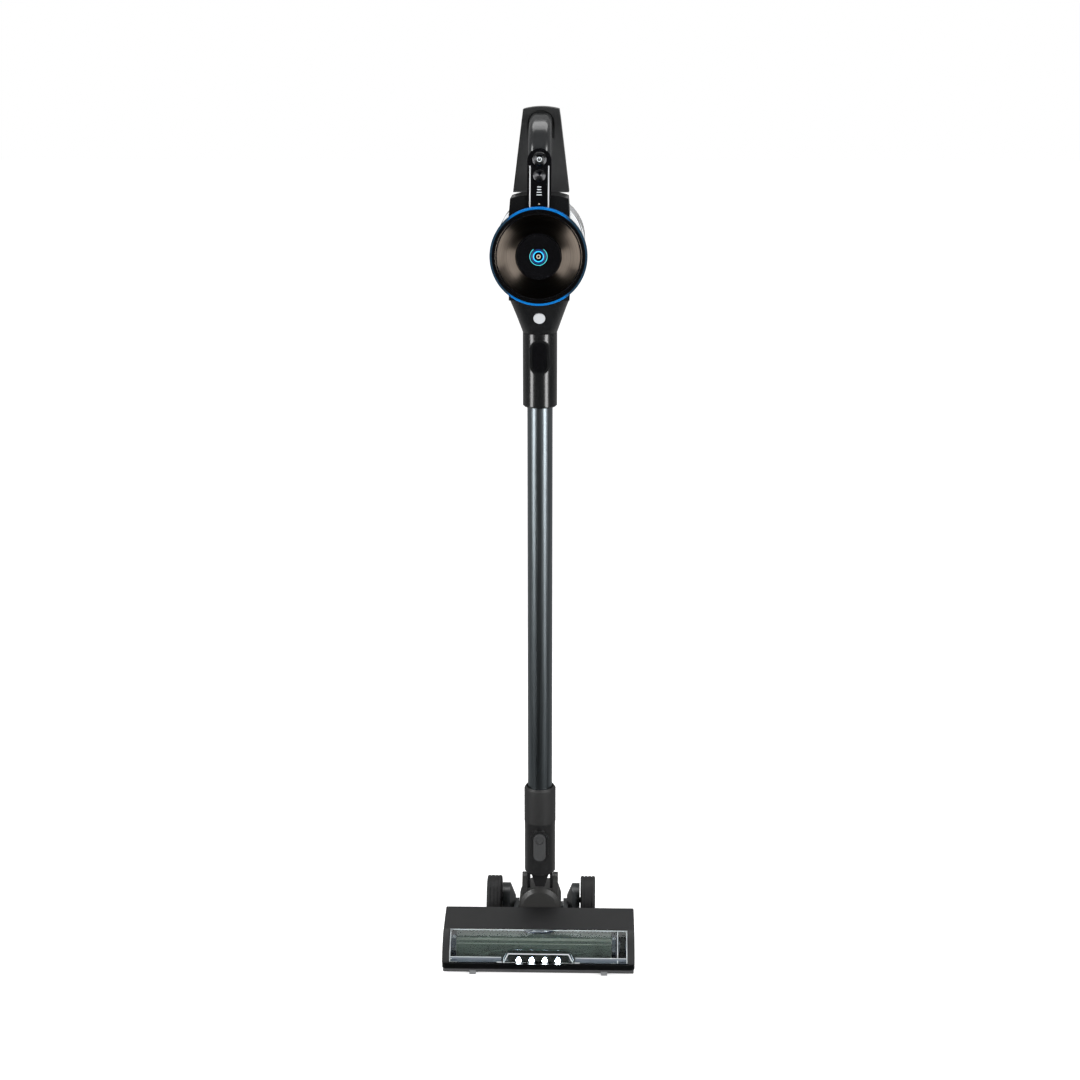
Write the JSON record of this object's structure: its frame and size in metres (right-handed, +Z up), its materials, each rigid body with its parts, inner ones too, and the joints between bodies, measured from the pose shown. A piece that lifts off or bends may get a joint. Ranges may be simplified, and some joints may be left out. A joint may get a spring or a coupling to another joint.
{
  "type": "cordless stick vacuum",
  "caption": "Upright cordless stick vacuum: round-faced handheld unit with grip, battery and clear dust cup on a metal wand, folding neck and wide floor head with a clear front and roller.",
  "frame": {"origin": "on the floor, under the middle of the object's box", "axes": "+Z up along the wand, -Y towards the front of the floor head and the round display, +X to the right of someone facing that front"},
  "size_m": [0.26, 0.2242, 1.141],
  "materials": {
    "head_grey": "matte, fine grain",
    "sole_grey": "matte",
    "bumper_black": "soft satin",
    "window_clear": "clear polycarbonate",
    "lens_clear": "clear",
    "duct_navy": "satin navy",
    "pile_green": "short soft pile",
    "core_navy": "satin navy",
    "comb_pale": "satin",
    "inner_black": "matte",
    "belt_rubber": "matte",
    "motor_steel": "brushed",
    "lamp_white": "lit lamps",
    "tyre_black": "matte tread",
    "hub_grey": "satin",
    "pin_steel": "satin",
    "body_black": "deep satin black",
    "tube_grey": "anodised blue grey",
    "collar_black": "satin",
    "button_black": "gloss",
    "grip_grey": "smooth satin",
    "cover_bronze": "spun dark bronze",
    "ring_blue": "metallic blue",
    "display_black": "black display glass",
    "badge_pale": "plain satin disc",
    "cup_clear": "clear smoke",
    "filter_white": "pleated",
    "foam_grey": "open foam",
    "screen_steel": "perforated",
    "cell_green": "sleeved cell",
    "board_green": "circuit board"
  },
  "bodies": {
    "floor_head": {"sole_plate": "sole_grey", "bumper": "bumper_black", "top_cover": "head_grey", "end_cap_left": "head_grey", "end_cap_right": "head_grey", "front_window": "window_clear", "chamber_wall": "inner_black", "comb": "comb_pale", "air_duct": "duct_navy", "bearing_plate": "window_clear", "brush_motor": "motor_steel", "drive_belt": "belt_rubber", "lamp_board": "board_green", "headlamps": "lamp_white", "lamp_lens": "lens_clear", "wheel_carriage": "hub_grey"},
    "brush_roller": {"roller_core": "core_navy", "roller_pile": "pile_green", "roller_pulley": "core_navy"},
    "pinion": {"motor_pinion": "pin_steel"},
    "front_wheel_left": {"front_wheel_left": "hub_grey"},
    "front_wheel_right": {"front_wheel_right": "hub_grey"},
    "rear_wheel_left": {"rear_wheel_hub_left": "hub_grey", "rear_tyre_left": "tyre_black"},
    "rear_wheel_right": {"rear_wheel_hub_right": "hub_grey", "rear_tyre_right": "tyre_black"},
    "swivel": {"swivel_yoke": "body_black", "hinge_pins": "pin_steel"},
    "neck": {"neck_tube": "body_black"},
    "neck_button": {"neck_button": "button_black"},
    "wand": {"lower_collar": "collar_black", "wand_tube": "tube_grey", "power_conduit": "inner_black", "upper_socket": "body_black"},
    "wand_button": {"wand_button": "button_black"},
    "handheld": {"main_body": "body_black", "nozzle": "inner_black", "badge": "badge_pale", "fan_motor": "motor_steel", "display_post": "inner_black", "display_glass": "display_black", "cyclone_cone": "inner_black", "mesh_screen": "screen_steel", "grip": "grip_grey", "battery_dock": "body_black", "control_panel": "button_black"},
    "fan": {"fan": "motor_steel"},
    "power_button": {"power_button": "button_black"},
    "mode_button": {"mode_button": "button_black"},
    "filter_unit": {"filter_cover": "cover_bronze", "pleated_filter": "filter_white", "foam_filter": "foam_grey"},
    "lock_ring": {"lock_ring": "ring_blue"},
    "dust_cup": {"dust_cup": "cup_clear"},
    "cup_lid": {"cup_lid": "cup_clear"},
    "lid_latch": {"lid_latch": "inner_black"},
    "battery": {"battery_case": "body_black", "battery_cells": "cell_green", "battery_board": "board_green"},
    "battery_key": {"battery_key": "button_black"}
  },
  "joints": [
    {"name": "roller_spin", "type": "hinge", "parent": "floor_head", "child": "brush_roller", "pos_m": [0, -0.0709, 0.0245], "axis": [1, 0, 0], "continuous": true},
    {"name": "pinion_spin", "type": "hinge", "parent": "floor_head", "child": "pinion", "pos_m": [0, -0.0319, 0.0375], "axis": [1, 0, 0], "continuous": true},
    {"name": "front_wheel_left_spin", "type": "hinge", "parent": "floor_head", "child": "front_wheel_left", "pos_m": [-0.0888, -0.1034, 0.0045], "axis": [1, 0, 0], "continuous": true},
    {"name": "front_wheel_right_spin", "type": "hinge", "parent": "floor_head", "child": "front_wheel_right", "pos_m": [0.0888, -0.1034, 0.0045], "axis": [1, 0, 0], "continuous": true},
    {"name": "rear_wheel_left_spin", "type": "hinge", "parent": "floor_head", "child": "rear_wheel_left", "pos_m": [0, 0.0581, 0.034], "axis": [1, 0, 0], "continuous": true},
    {"name": "rear_wheel_right_spin", "type": "hinge", "parent": "floor_head", "child": "rear_wheel_right", "pos_m": [0, 0.0581, 0.034], "axis": [1, 0, 0], "continuous": true},
    {"name": "head_swivel", "type": "hinge", "parent": "floor_head", "child": "swivel", "pos_m": [0, -0.0029, 0.0585], "axis": [0, 1, 0], "range_deg": [-40, 40]},
    {"name": "neck_fold", "type": "hinge", "parent": "swivel", "child": "neck", "pos_m": [0, -0.0029, 0.091], "axis": [-1, 0, 0], "range_deg": [0, 85]},
    {"name": "neck_button_push", "type": "slide", "parent": "neck", "child": "neck_button", "axis": [0, 1, 0], "range_m": [0, 0.0025], "stiffness_N_per_m": 900},
    {"name": "wand_pull", "type": "slide", "parent": "neck", "child": "wand", "axis": [0, 0, 1], "range_m": [0, 0.07]},
    {"name": "wand_button_push", "type": "slide", "parent": "wand", "child": "wand_button", "axis": [0, 1, 0], "range_m": [0, 0.0025], "stiffness_N_per_m": 900},
    {"name": "handheld_pull", "type": "slide", "parent": "wand", "child": "handheld", "axis": [0, 0, 1], "range_m": [0, 0.07]},
    {"name": "fan_spin", "type": "hinge", "parent": "handheld", "child": "fan", "pos_m": [0, -0.0139, 0.964], "axis": [0, 1, 0], "continuous": true},
    {"name": "power_button_push", "type": "slide", "parent": "handheld", "child": "power_button", "axis": [0, 0.9701, -0.2425], "range_m": [0, 0.001], "stiffness_N_per_m": 700},
    {"name": "mode_button_push", "type": "slide", "parent": "handheld", "child": "mode_button", "axis": [0, 0.9701, -0.2425], "range_m": [0, 0.001], "stiffness_N_per_m": 700},
    {"name": "filter_pull", "type": "slide", "parent": "handheld", "child": "filter_unit", "axis": [0, -1, 0], "range_m": [0, 0.05]},
    {"name": "lock_ring_turn", "type": "hinge", "parent": "filter_unit", "child": "lock_ring", "pos_m": [0, -0.0139, 0.964], "axis": [0, 1, 0], "range_deg": [0, 25]},
    {"name": "cup_pull", "type": "slide", "parent": "handheld", "child": "dust_cup", "axis": [0, 1, 0], "range_m": [0, 0.08]},
    {"name": "cup_lid_hinge", "type": "hinge", "parent": "dust_cup", "child": "cup_lid", "pos_m": [0, 0.1066, 0.9105], "axis": [-1, 0, 0], "range_deg": [0, 90]},
    {"name": "lid_latch_push", "type": "slide", "parent": "cup_lid", "child": "lid_latch", "axis": [0, -1, 0], "range_m": [0, 0.0015], "stiffness_N_per_m": 700},
    {"name": "battery_pull", "type": "slide", "parent": "handheld", "child": "battery", "axis": [0, 1, 0], "range_m": [0, 0.06]},
    {"name": "battery_key_push", "type": "slide", "parent": "battery", "child": "battery_key", "axis": [0, -1, 0], "range_m": [0, 0.0018], "stiffness_N_per_m": 700}
  ],
  "couplings": [
    {"joint": "pinion_spin", "follows": "roller_spin", "ratio": 2.4}
  ]
}
